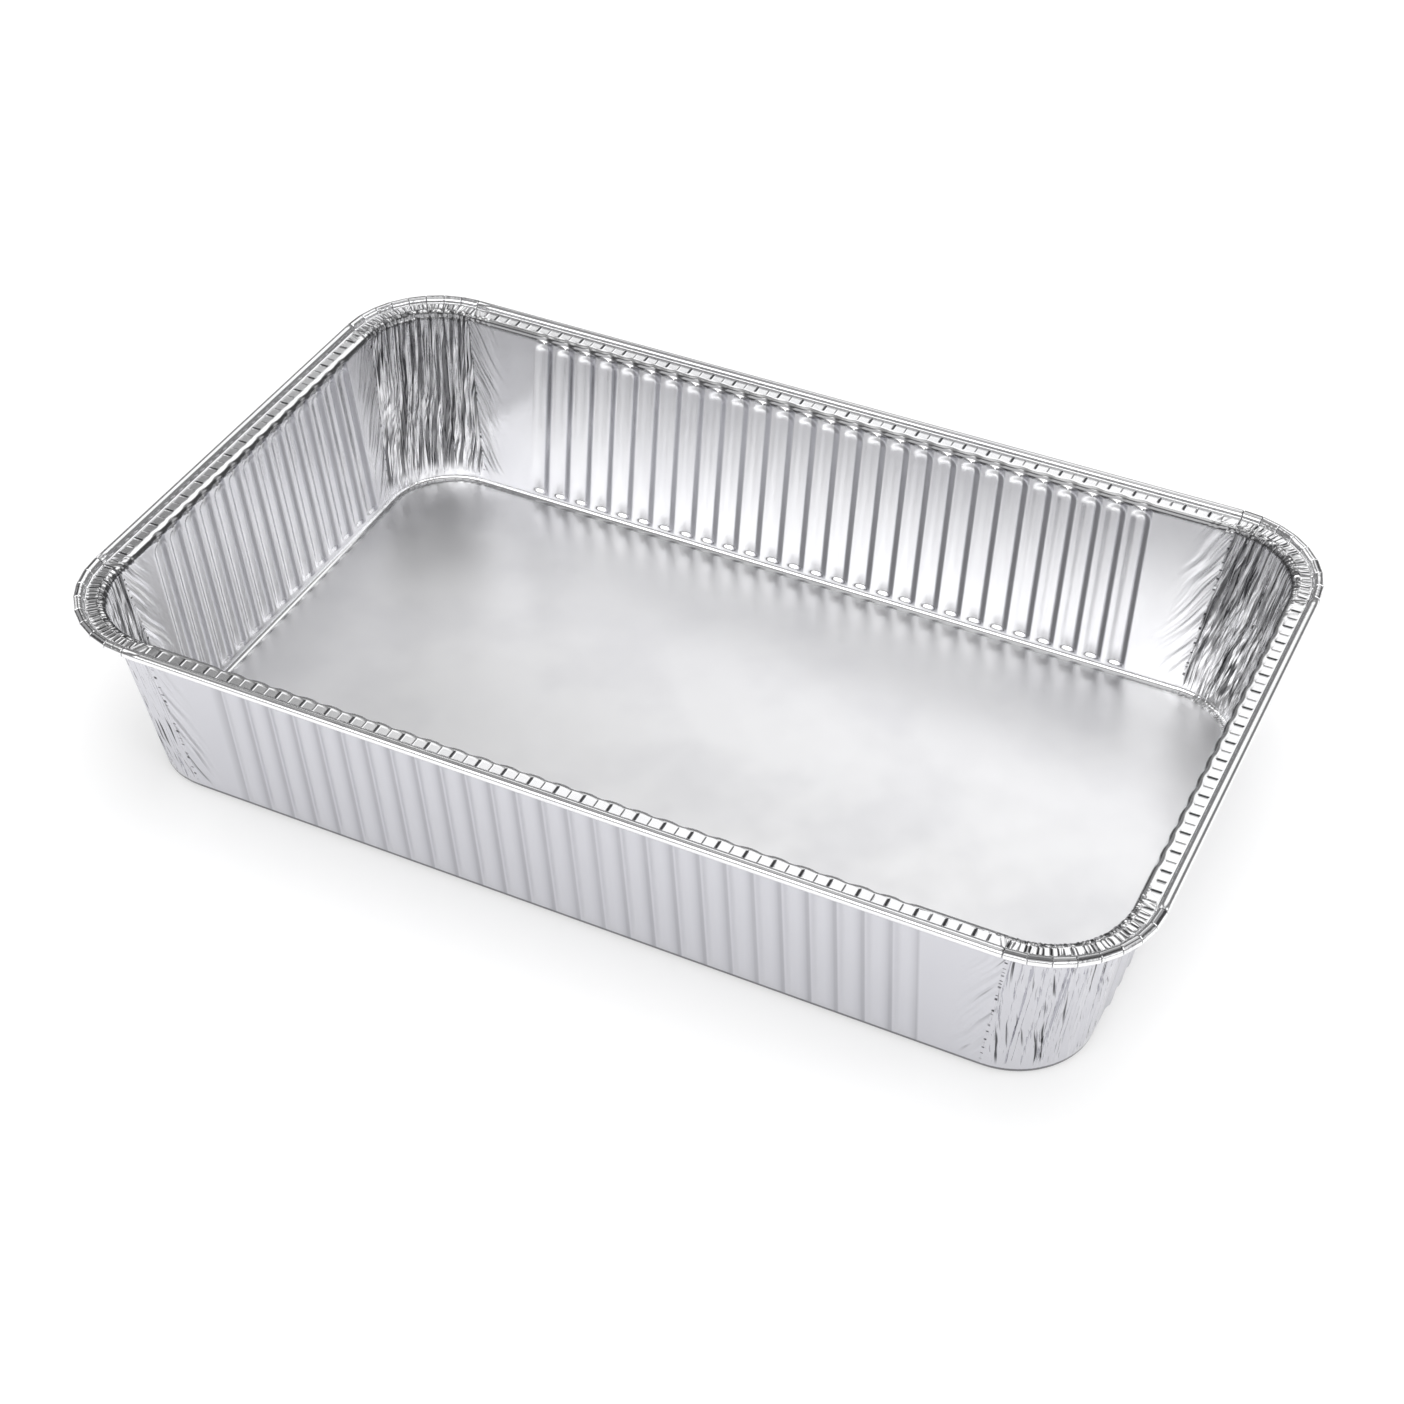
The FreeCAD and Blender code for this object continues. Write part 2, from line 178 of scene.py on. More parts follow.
def section(pan, relief):
    """Rows of the sheet's middle surface, and the length of the wall between its two bends."""
    half = pan.foil / 2
    under = pan.overall_height - pan.roll_rise - pan.foil
    flange = under + half
    lean = math.atan2(pan.wall_taper, under)
    turn = math.pi / 2 - lean
    up_wall = np.array((math.sin(lean), math.cos(lean)))
    outward = np.array((math.cos(lean), -math.sin(lean)))
    rows = []

    def on_wall(height):
        out = -pan.rim_reach - pan.wall_taper + math.tan(lean) * height - half / math.cos(lean)
        return np.array((out, height))

    def add_rim_row(point, *rest):
        rows.append(Row(point, pan.rim_corner_radius + point[0], *rest))

    # Base and the bend up from it
    foot_tangent = pan.base_bend * math.tan(turn / 2)
    foot_centre = on_wall(half) - (foot_tangent, -pan.base_bend)
    ring = (foot_centre[0] - BASE_RING, half)
    rows.append(Row(ring, pan.corner_radius - foot_tangent - BASE_RING, (0, -1), "base", BASE_UP))
    for step in range(BEND_STEPS + 1):
        angle = turn * step / BEND_STEPS
        facing = np.array((math.sin(angle), -math.cos(angle)))
        radius = pan.corner_radius - foot_tangent * (1 - step / BEND_STEPS)
        up = (step - BEND_STEPS) * BEND_UP_STEP
        rows.append(Row(foot_centre + facing * pan.base_bend, radius, facing, "bend", up))

    # Wall
    wall_foot = foot_centre + outward * pan.base_bend
    shoulder_tangent = pan.shoulder_bend * math.tan(turn / 2)
    wall_head = on_wall(flange) - up_wall * shoulder_tangent
    full = float(np.linalg.norm(wall_head - wall_foot))
    head = full - relief.head_gap
    for distance in [v * MM for v in WALL_FOOT_LINES] + [head - v * MM for v in RIB_HEAD_LINES] + [full]:
        rows.append(Row(wall_foot + up_wall * distance, pan.corner_radius, outward, "wall", distance))

    # Shoulder
    shoulder_centre = wall_head + outward * pan.shoulder_bend
    start = math.atan2(-outward[1], outward[0])
    for step in range(1, BEND_STEPS + 1):
        angle = start + (math.pi / 2 - start) * step / BEND_STEPS
        facing = np.array((math.cos(angle), -math.sin(angle)))
        point = shoulder_centre - facing * pan.shoulder_bend
        add_rim_row(point, facing, "shoulder", full + step * SHOULDER_UP_STEP, "walls", step / BEND_STEPS)

    # Flange, up to the hollow beside the roll
    groove_middle = pan.overall_height - pan.roll_rise + pan.groove_radius
    roll_middle = pan.overall_height - pan.roll_radius
    drop = groove_middle - roll_middle
    span = math.sqrt((pan.roll_radius + pan.groove_radius) ** 2 - drop ** 2)
    meeting = math.atan2(drop, span)
    groove = np.array((-pan.roll_radius - span, groove_middle))
    first = -rows[-1].inset
    width = groove[0] - first
    for line in FLANGE_LINES:
        up = full + FLANGE_UP + width * line
        add_rim_row((first + width * line, flange), (0, -1), "flange", up, "flange", line)

    # Hollow and roll
    for step in range(GROOVE_STEPS):
        angle = (math.pi / 2 - meeting) * step / GROOVE_STEPS
        facing = np.array((math.sin(angle), -math.cos(angle)))
        point = groove + facing * (pan.groove_radius + half)
        up = full + GROOVE_UP + step * GROOVE_UP_STEP
        add_rim_row(point, facing, "groove", up, "rim", step / GROOVE_STEPS)
    roll = np.array((-pan.roll_radius, roll_middle))
    for step in range(ROLL_STEPS + 1):
        angle = math.pi - meeting - pan.roll_turn * step / ROLL_STEPS
        facing = -np.array((math.cos(angle), math.sin(angle)))
        up = full + ROLL_UP + step * ROLL_UP_STEP
        add_rim_row(roll - facing * (pan.roll_radius - half), facing, "roll", up, "rim", step / ROLL_STEPS)
    return rows, full


# Columns round the pan. A rib's columns are placed along their side, those of a plain zone by their share of
# its width, and a corner's by their share of its quarter turn

class Column:
    """One line up the pan: its side, where it is on it, and the bands of rows that have it."""

    def __init__(self, side, kind, place, bands, fold=0.0, pleat=0.0, rib_shade=0.0, dip=0.5):
        self.side, self.kind, self.place, self.bands = side, kind, place, bands
        self.fold, self.pleat, self.rib_shade, self.dip = fold, pleat, rib_shade, dip


# Across one rib pitch, drawn for a pitch of 12.7 mm: millimetres, the bands that have a line there, how
# strong a flange pleat is there, how strong the painted shade along the ribs is (above 0 outside, between two
# ribs; below 0 inside, on one side of a rib) and how deep the shade of the shoulder comes down
STEPS_PITCH = 12.7 * MM
RIB_STEPS = (
    (0.0, BANDS, 1.0, 1.0, 0.9), (1.0, ("flange",), 0.0, 0.0, 0.0),
    (1.15, ("walls",), 0.0, -0.7, 0.7), (1.9, ("walls",), 0.0, -1.0, 0.4),
    (3.0, ("walls",), 0.0, -1.0, 0.1), (4.15, ("walls",), 0.0, -1.0, 0.0),
    (5.2, ("walls",), 0.0, 0.0, 0.0), (5.8, ("flange",), 0.0, 0.0, 0.0),
    (6.35, ("walls", "flange"), 0.6, 0.0, 0.0), (6.9, ("flange",), 0.0, 0.0, 0.0),
    (7.5, ("walls",), 0.0, 0.0, 0.0), (8.55, ("walls",), 0.0, 0.1, 0.0),
    (9.7, ("walls",), 0.0, 0.25, 0.1), (10.8, ("walls",), 0.0, 0.6, 0.4),
    (11.55, ("walls",), 0.0, 1.0, 0.7), (11.7, ("flange",), 0.0, 0.0, 0.0),
)
# Across a plain zone, for each flange pleat: millimetres, bands and the pleat's strength. Then how near the
# zone's ends its end lines, its last pleat and its last line may be, and the strength of every second pleat
PLAIN_STEPS = ((-1.0, ("flange",), 0.0), (0.0, BANDS, 1.0), (1.0, ("flange",), 0.0), (3.2, ("walls",), 0.0))
END_LINE, LAST_PLEAT, LAST_LINE, LOW_PLEAT = 1.0 * MM, 2.2 * MM, 1.05 * MM, 0.6
# Round a corner, in shares of its quarter turn: lines beside a crease on roll and flange, half a pleat, and
# how near a crease a pleat may be. Then how far folds and pleats stray, and how much they and the roll's
# lengths of painted shade differ
BESIDE_ON_ROLL, BESIDE_ON_FLANGE, HALF_PLEAT, PLEAT_CLEARANCE = 0.0065, 0.0115, 0.0085, 0.021
FOLD_STRAY, PLEAT_STRAY, CREASE_PLEAT = 0.28, 0.25, 0.8
FOLD_HEIGHTS, PLEAT_STRENGTHS, DARK_LENGTHS = (0.2, 1.0), (0.45, 1.0), (0.5, 1.1)
# How far a corner fold wanders on its way up, in shares of the gap between folds, and how its wave starts and
# runs
WANDER, WANDER_START, WANDER_RUN = 0.40, 6.3, 4.0


def plain_columns(side, width, half_pitch, sign):
    """Columns of the plain zone at one end of a side."""
    found, crest = [Column(side, "plain", sign * END_LINE / width, ("flange",))], half_pitch
    while crest < width - LAST_PLEAT:
        for step, bands, pleat in PLAIN_STEPS:
            if crest + step * MM < width - LAST_LINE:
                strength = pleat * (LOW_PLEAT if round(crest / half_pitch) % 2 else 1.0)
                found.append(Column(side, "plain", sign * (crest + step * MM) / width, bands, pleat=strength))
        crest += half_pitch
    found.append(Column(side, "plain", sign * (1 - END_LINE / width), ("flange", "rim")))
    return found if sign > 0 else found[::-1]


def corner_columns(side, relief, random):
    """Columns round a corner: folds of the wall, in and out, creases of the rim and uneven flange pleats."""
    folds, creases, pleats = relief.corner_folds, relief.rim_creases, relief.corner_pleats
    found = []
    for fold in range(folds + 1):
        height = 0.0 if fold in (0, folds) else (1.0 if fold % 2 else -1.0) * random.uniform(*FOLD_HEIGHTS)
        if fold * creases % folds == 0:
            found.append(Column(side, "corner", fold / folds, BANDS, height, CREASE_PLEAT, dip=0.0))
        else:
            place = (fold + random.uniform(-FOLD_STRAY, FOLD_STRAY)) / folds
            found.append(Column(side, "corner", place, ("walls",), height))
    kept = [k / creases for k in range(creases + 1)]
    dark = random.uniform(*DARK_LENGTHS, creases)
    for number, k in enumerate(kept):
        for beside, band in ((BESIDE_ON_ROLL, "rim"), (BESIDE_ON_FLANGE, "flange")):
            for place, neighbour in ((k - beside, number - 1), (k + beside, number)):
                if 0 < place < 1:
                    found.append(Column(side, "corner", place, (band,), dip=dark[neighbour]))
    for number in range(pleats):
        middle = (number + 0.5 + random.uniform(-PLEAT_STRAY, PLEAT_STRAY)) / pleats
        if min(abs(middle - k) for k in kept) < PLEAT_CLEARANCE:
            continue
        strength = random.uniform(*PLEAT_STRENGTHS)
        for beside, pleat in ((-HALF_PLEAT, 0.0), (0.0, strength), (HALF_PLEAT, 0.0)):
            found.append(Column(side, "corner", middle + beside, ("flange",), pleat=pleat))
    return sorted(found, key=lambda c: c.place)


def ribbed_zone(side, relief):
    """Number of ribs on a side, and half the length that they take up."""
    ribs = relief.short_ribs if side % 2 else relief.long_ribs
    return ribs, ribs * relief.rib_pitch / 2


def columns(pan, relief):
    """Columns along ribbed zones, across plain zones and round corners, in order round the pan."""
    random = np.random.default_rng(relief.seed)
    scale = relief.rib_pitch / STEPS_PITCH
    found = []
    for side in range(4):
        ribs, zone = ribbed_zone(side, relief)
        along_half = (pan.overall_width if side % 2 else pan.overall_length) / 2
        width = along_half - pan.rim_corner_radius - zone
        found += plain_columns(side, width, relief.rib_pitch / 2, -1)
        for rib in range(ribs):
            for step, bands, pleat, rib_shade, dip in RIB_STEPS:
                place = -zone + rib * relief.rib_pitch + step * MM * scale
                found.append(Column(side, "rib", place, bands, 0.0, pleat, rib_shade, dip))
        found.append(Column(side, "rib", zone, BANDS, pleat=1.0))
        found += plain_columns(side, width, relief.rib_pitch / 2, 1)
        found += corner_columns(side, relief, random)
    return found


# The plain sheet. Each point carries: metres along its side and up the wall, share of the nearest corner's
# quarter turn (below 0 or above 1 on the sides), how far its fold stands out, the corner's number, whether it
# is in it, half the ribbed zone, strength of its pleat, how strong its painted rib shade is, whether it is off
# the ribs, and how deep the shoulder's shade is
VALUE_NAMES = (
    "across", "up", "turn", "fold", "corner", "in_corner", "rib_zone", "pleat", "rib_shade", "near", "dip")


def sheet_points(pan, relief):
    """Rows, columns and wall length of the plain sheet, and its points' places, directions and values."""
    rows, full = section(pan, relief)
    cols = columns(pan, relief)
    waves = np.random.default_rng(relief.seed + 1).uniform(-1, 1, len(cols))
    half_sizes = (pan.overall_length / 2, pan.overall_width / 2)
    segment, arc = QUARTER / relief.rim_creases, QUARTER * pan.rim_corner_radius
    places, pushes, values, index = [], [], [], {}
    for (r, row), (c, col) in product(enumerate(rows), enumerate(cols)):
        if row.band not in col.bands:
            continue
        outward, along = (np.array(v, float) for v in SIDES[col.side])
        start = half_sizes[col.side % 2] - row.inset - row.radius
        out = half_sizes[1 - col.side % 2] - row.inset
        zone = ribbed_zone(col.side, relief)[1]
        in_corner = col.kind == "corner"
        if in_corner:
            across, turn, corner, angle, radius = 1.0, col.place, col.side, QUARTER * col.place, row.radius
            if col.fold and row.zone in ("bend", "wall", "shoulder"):
                level = min(1.0, max(0.0, row.height / pan.overall_height))
                wander = WANDER * math.sin(WANDER_START * waves[c] + WANDER_RUN * level) / relief.corner_folds
                angle = QUARTER * (col.place + wander)
            if row.band == "rim":
                radius *= math.cos(segment / 2) / math.cos(angle % segment - segment / 2)
            direction = outward * math.cos(angle) + along * math.sin(angle)
            flat = along * start + outward * (out - row.radius) + direction * radius
        else:
            across, direction = col.place, outward
            if col.kind == "plain":
                across = math.copysign(zone + abs(col.place) * (start - zone), col.place)
            beyond = (start - abs(across)) / arc
            turn, corner = (1.0 + beyond, (col.side - 1) % 4) if across < 0 else (-beyond, col.side)
            flat = along * across + outward * out
        index[r, c] = len(places)
        places.append((flat[0], flat[1], row.height))
        pushes.append((direction[0] * row.facing[0], direction[1] * row.facing[0], row.facing[1]))
        values.append((across, row.up, turn, col.fold, corner, float(in_corner), zone, col.pleat,
                       col.rib_shade * (row.zone == "wall"), float(col.kind != "rib"), col.dip))
    return rows, cols, full, np.array(places), np.array(pushes), np.array(values), index


def sheet_faces(rows, cols, index):
    """Faces between the rows, wider ones where walls and rim have different columns, and the base."""
    faces = []
    members = {band: [c for c, col in enumerate(cols) if band in col.bands] for band in BANDS}

    def stretch(numbers, first, last):
        """The columns of one kind from first round to last."""
        here, there = numbers.index(first), numbers.index(last)
        return numbers[here:there + 1] if there > here else numbers[here:] + numbers[:there + 1]

    for r in range(len(rows) - 1):
        low, high = members[rows[r].band], members[rows[r + 1].band]
        common = low if low is high else [c for c in low if rows[r + 1].band in cols[c].bands]
        for first, last in zip(common, common[1:] + common[:1]):
            below = [index[r, c] for c in stretch(low, first, last)]
            above = [index[r + 1, c] for c in stretch(high, first, last)]
            faces.append(tuple(below + above[::-1]))
    faces.append(tuple(index[0, c] for c in reversed(members["walls"])))
    return faces


# Node trees written as sums

class Field:
    """A number that a node tree works out for each point."""

    def __init__(self, tree, socket):
        self.tree, self.socket = tree, socket

    def made(self, operation, *others):
        node = self.tree.nodes.new("ShaderNodeMath")
        node.operation = operation
        for socket, value in zip(node.inputs, (self,) + others):
            connect(self.tree, value, socket)
        return Field(self.tree, node.outputs[0])

    __add__ = partialmethod(made, "ADD")
    __sub__ = partialmethod(made, "SUBTRACT")
    __mul__ = partialmethod(made, "MULTIPLY")
    __truediv__ = partialmethod(made, "DIVIDE")
    absolute = partialmethod(made, "ABSOLUTE")
    minimum = partialmethod(made, "MINIMUM")
    maximum = partialmethod(made, "MAXIMUM")
    power = partialmethod(made, "POWER")
    root = partialmethod(made, "SQRT")
    less = partialmethod(made, "LESS_THAN")
    folded = partialmethod(made, "PINGPONG")

    def rest(self):
        """What is left of it up to 1."""
        return self * -1.0 + 1.0


def connect(tree, value, socket):
    if isinstance(value, Field):
        tree.links.new(value.socket, socket)
    elif isinstance(value, bpy.types.NodeSocket):
        tree.links.new(value, socket)
    else:
        socket.default_value = value


def ramp(tree, value, start, end, low=0.0, high=1.0):
    """Smooth step of a value from one number to another."""
    node = tree.nodes.new("ShaderNodeMapRange")
    node.interpolation_type = "SMOOTHSTEP"
    given = {"Value": value, "From Min": start, "From Max": end, "To Min": low, "To Max": high}
    for name, number in given.items():
        connect(tree, number, node.inputs[name])
    return Field(tree, node.outputs["Result"])


def slope(tree, value, start, end, low=0.0, high=1.0):
    """Straight step of a value from one number to another."""
    field = ramp(tree, value, start, end, low, high)
    field.socket.node.interpolation_type = "LINEAR"
    return field


def stored(tree, name):
    node = tree.nodes.new("GeometryNodeInputNamedAttribute")
    node.data_type = "FLOAT"
    node.inputs["Name"].default_value = name
    return Field(tree, node.outputs["Attribute"])


def joined(tree, x, y, z):
    node = tree.nodes.new("ShaderNodeCombineXYZ")
    for number, socket in zip((x, y, z), node.inputs):
        connect(tree, number, socket)
    return node.outputs[0]


def noise_at(tree, place, detail=2.0):
    """Noise from 0 to 1 at a place."""
    node = tree.nodes.new("ShaderNodeTexNoise")
    node.inputs["Scale"].default_value = 1.0
    node.inputs["Detail"].default_value = detail
    tree.links.new(place, node.inputs["Vector"])
    return Field(tree, node.outputs["Fac"])


def uneven(tree, x, y, z, detail=1.0):
    """Noise between about -1 and 1."""
    return (noise_at(tree, joined(tree, x, y, z), detail) - 0.5) * 2.6


def past_corner(turn):
    """How far a point is past either end of a corner, in quarter turns."""
    return (turn * -1.0).maximum(turn - 1.0).maximum(0.0)


# Relief pressed into the sheet. Heights up the wall between which a kind of relief comes in, how far the fans
# reach and how steep they are, and half a notch's width as a share of a crease's length
RIB_FOOT, CORNER_FOOT, FAN_FOOT = (0.6 * MM, 3.2 * MM), (-3.4 * MM, 12.0 * MM), (2.0 * MM, 12.0 * MM)
ZONE_SPARE, FAN_REACH, FAN_SLANT, NOTCH_WIDTH = 0.01 * MM, 22.0 * MM, 0.9, 0.09


def rib_relief(tree, at, size):
    """Ribs, by the distance from a rib's middle line and, past it, from the middle of its round head."""
    half_pitch, half_width = size["Rib pitch"] / 2.0, size["Rib half width"]
    from_middle = ((at["across"] + at["rib_zone"]).folded(half_pitch) - half_pitch).absolute()
    past_head = (at["up"] - size["Rib head"]).maximum(0.0)
    reach = (from_middle * from_middle + past_head * past_head).root()
    rise = slope(tree, reach, half_width, half_width - size["Rib flank"])
    crown = ramp(tree, reach, half_width - size["Rib flank"], 0.0) * size["Rib crown"]
    in_zone = at["across"].absolute().less(at["rib_zone"] + ZONE_SPARE)
    ribs = (rise * size["Rib depth"] + crown) * ramp(tree, at["up"], *RIB_FOOT) * in_zone * at["on_wall"]
    scallops = ramp(tree, from_middle, half_width, 0.0) * at["shoulder"] * size["Scallop"] * in_zone
    return ribs + scallops


def corner_relief(tree, at, size):
    """Gathered corners: alternate columns stand in and out, uneven along their length, on a slow sway."""
    turn, corner, up = at["turn"], at["corner"], at["up"]
    patchy = uneven(tree, turn * 26.0 + corner * 13.0, up * 55.0, size["Seed"], 2.0)
    crease = at["fold"] * (patchy * 0.55 + 0.75) * size["Fold depth"] * 0.5
    slow = uneven(tree, turn * 7.0 + corner * 9.0, up * 9.0, size["Seed"] + 3.0)
    away_from_edge = (turn * turn.rest() * 4.0).power(0.5)
    sway = (slow - 0.6) * size["Corner sway"] * 0.5 * away_from_edge
    wall_share = ramp(tree, up, *CORNER_FOOT)
    top_share = ramp(tree, at["shoulder"], 0.0, 1.0, 1.0, 0.6)
    return (crease + sway) * at["in_corner"] * wall_share * top_share * at["flange"].rest() * at["rim"].rest()


def fan_relief(tree, at, size):
    """Slanting swells that start at a corner and fade into the plain wall."""
    beyond = past_corner(at["turn"]) * size["Turn length"]
    slant = at["up"] + beyond * FAN_SLANT
    lines = uneven(tree, slant * 90.0, at["corner"] * 5.0 + beyond * 25.0, size["Seed"] + 9.0)
    fade = ramp(tree, beyond, FAN_REACH, 0.0)
    on_sides = at["in_corner"].rest() * at["on_wall"] * ramp(tree, at["up"], *FAN_FOOT)
    return lines * fade * fade * size["Fan depth"] * on_sides


def pleat_relief(tree, at, size):
    """Pleats pinched up across the flange, uneven from one to the next."""
    strength = uneven(tree, at["across"] * 90.0 + at["turn"] * 30.0, at["corner"] * 3.0, size["Seed"] + 11.0)
    return at["pleat"] * (strength * 0.3 + 0.9) * size["Pleat height"] * at["flange"] * -1.0


def notch_relief(tree, at, size):
    """Short straight lengths of the roll round a corner, with a notch between each two."""
    from_crease = (at["turn"] * size["Rim creases"] + 0.5).folded(0.5)
    notch = ramp(tree, from_crease * -2.0 + 1.0, NOTCH_WIDTH, 0.0)
    return notch * size["Rim notch"] * at["in_corner"] * at["rim"]


def pressed_relief_tree(pan, relief, wall_length):
    """Presses ribs, corner folds, fans, pleats and notches into a sheet that carries its own layout."""
    tree = bpy.data.node_groups.new("Pressed relief", "GeometryNodeTree")
    numbers = {
        "Rib pitch": relief.rib_pitch, "Rib half width": relief.rib_width / 2, "Rib depth": relief.rib_depth,
        "Rib flank": relief.rib_flank, "Rib crown": relief.rib_crown,
        "Rib head": wall_length - relief.head_gap - relief.rib_width / 2, "Scallop": relief.scallop,
        "Fold depth": relief.fold_depth, "Corner sway": relief.corner_sway, "Fan depth": relief.fan_depth,
        "Pleat height": relief.pleat_height, "Rim creases": float(relief.rim_creases),
        "Rim notch": relief.rim_notch, "Turn length": QUARTER * pan.rim_corner_radius,
        "Seed": float(relief.seed),
    }
    face = tree.interface
    face.new_socket("Geometry", in_out="INPUT", socket_type="NodeSocketGeometry")
    for name in numbers:
        face.new_socket(name, in_out="INPUT", socket_type="NodeSocketFloat")
    face.new_socket("Foil", in_out="INPUT", socket_type="NodeSocketMaterial")
    face.new_socket("Geometry", in_out="OUTPUT", socket_type="NodeSocketGeometry")
    entry, leave = tree.nodes.new("NodeGroupInput"), tree.nodes.new("NodeGroupOutput")
    size = {name: Field(tree, entry.outputs[name]) for name in numbers}
    layout = ("across", "up", "turn", "fold", "corner", "in_corner", "rib_zone", "pleat",
              "flange", "rim", "on_wall", "shoulder")
    at = {name: stored(tree, name) for name in layout}
    total = rib_relief(tree, at, size)
    for relief_of in (corner_relief, fan_relief, pleat_relief, notch_relief):
        total = total + relief_of(tree, at, size)

    push = tree.nodes.new("GeometryNodeInputNamedAttribute")
    push.data_type = "FLOAT_VECTOR"
    push.inputs["Name"].default_value = "push"
    scale = tree.nodes.new("ShaderNodeVectorMath")
    scale.operation = "SCALE"
    tree.links.new(push.outputs["Attribute"], scale.inputs[0])
    connect(tree, total, scale.inputs["Scale"])
    move = tree.nodes.new("GeometryNodeSetPosition")
    tree.links.new(entry.outputs["Geometry"], move.inputs["Geometry"])
    tree.links.new(scale.outputs[0], move.inputs["Offset"])
    realize = tree.nodes.new("GeometryNodeRealizeInstances")
    finish = tree.nodes.new("GeometryNodeSetMaterial")
    tree.links.new(move.outputs[0], realize.inputs[0])
    tree.links.new(realize.outputs[0], finish.inputs["Geometry"])
    tree.links.new(entry.outputs["Foil"], finish.inputs["Material"])
    tree.links.new(finish.outputs[0], leave.inputs[0])
    return tree, numbers


def set_inputs(modifier, tree, values):
    """Gives a Geometry Nodes modifier its inputs, by socket."""
    for item in tree.interface.items_tree:
        if item.in_out == "INPUT" and item.name in values:
            modifier[item.identifier] = values[item.name]


# Foil. Noise scales along x, y and z first

WAVES, ROLLING_STREAKS, PATCHES, SATIN = (24, 24, 12), (260, 260, 20), (14, 14, 5), (70, 70, 18)
# Lengths of a corner's quarter turn for its creases, its edges and the fans
CREASE_TURN, EDGE_TURN, FAN_TURN = 60.0 * MM, 70.0 * MM, 82.0 * MM
# Where marks start and are full: painted shade of pinched pleats, painted shade lines, painted streaks of
# corner walls, and the way down to the base
PINCHED, SHADED, CORNER_WALL, AT_BASE = (0.32, 0.58), (0.45, 0.85), (0.55, 0.75), (-4.7 * MM, -6.4 * MM)
# How far the darkest painted shade goes, how strong the inside's painted rib shade is next to the outside's,
# how worn the patches are, and how much the roughness drifts
DARKEST, INNER_RIB_SHADE, WORN, ROUGHNESS_DRIFT = 0.94, 0.9, 0.25, 0.10


def value_group(name, inputs, outputs):
    """An empty shader group of plain values, with its input fields and its output node."""
    group = bpy.data.node_groups.new(name, "ShaderNodeTree")
    for label, default in inputs:
        socket = group.interface.new_socket(label, in_out="INPUT", socket_type="NodeSocketFloat")
        socket.default_value = default
    for label in outputs:
        group.interface.new_socket(label, in_out="OUTPUT", socket_type="NodeSocketFloat")
    entry, leave = group.nodes.new("NodeGroupInput"), group.nodes.new("NodeGroupOutput")
    return group, {label: Field(group, entry.outputs[label]) for label, _ in inputs}, leave


def foil_grain_group():
    """Slow waviness and rolling streaks of the sheet: a height in metres, duller patches and unevenness."""
    group, _, leave = value_group("Foil grain", (), ("Height", "Patches", "Satin"))
    place = group.nodes.new("ShaderNodeTexCoord")

    def noise(scale, detail):
        mapping = group.nodes.new("ShaderNodeMapping")
        mapping.inputs["Scale"].default_value = scale
        group.links.new(place.outputs["Object"], mapping.inputs["Vector"])
        return noise_at(group, mapping.outputs[0], detail)

    height = noise(WAVES, 2.0) * 0.14 * MM + noise(ROLLING_STREAKS, 2.0) * 0.005 * MM
    connect(group, height, leave.inputs["Height"])
    connect(group, ramp(group, noise(PATCHES, 3.0), 0.42, 0.68), leave.inputs["Patches"])
    connect(group, noise(SATIN, 4.0), leave.inputs["Satin"])
    return group


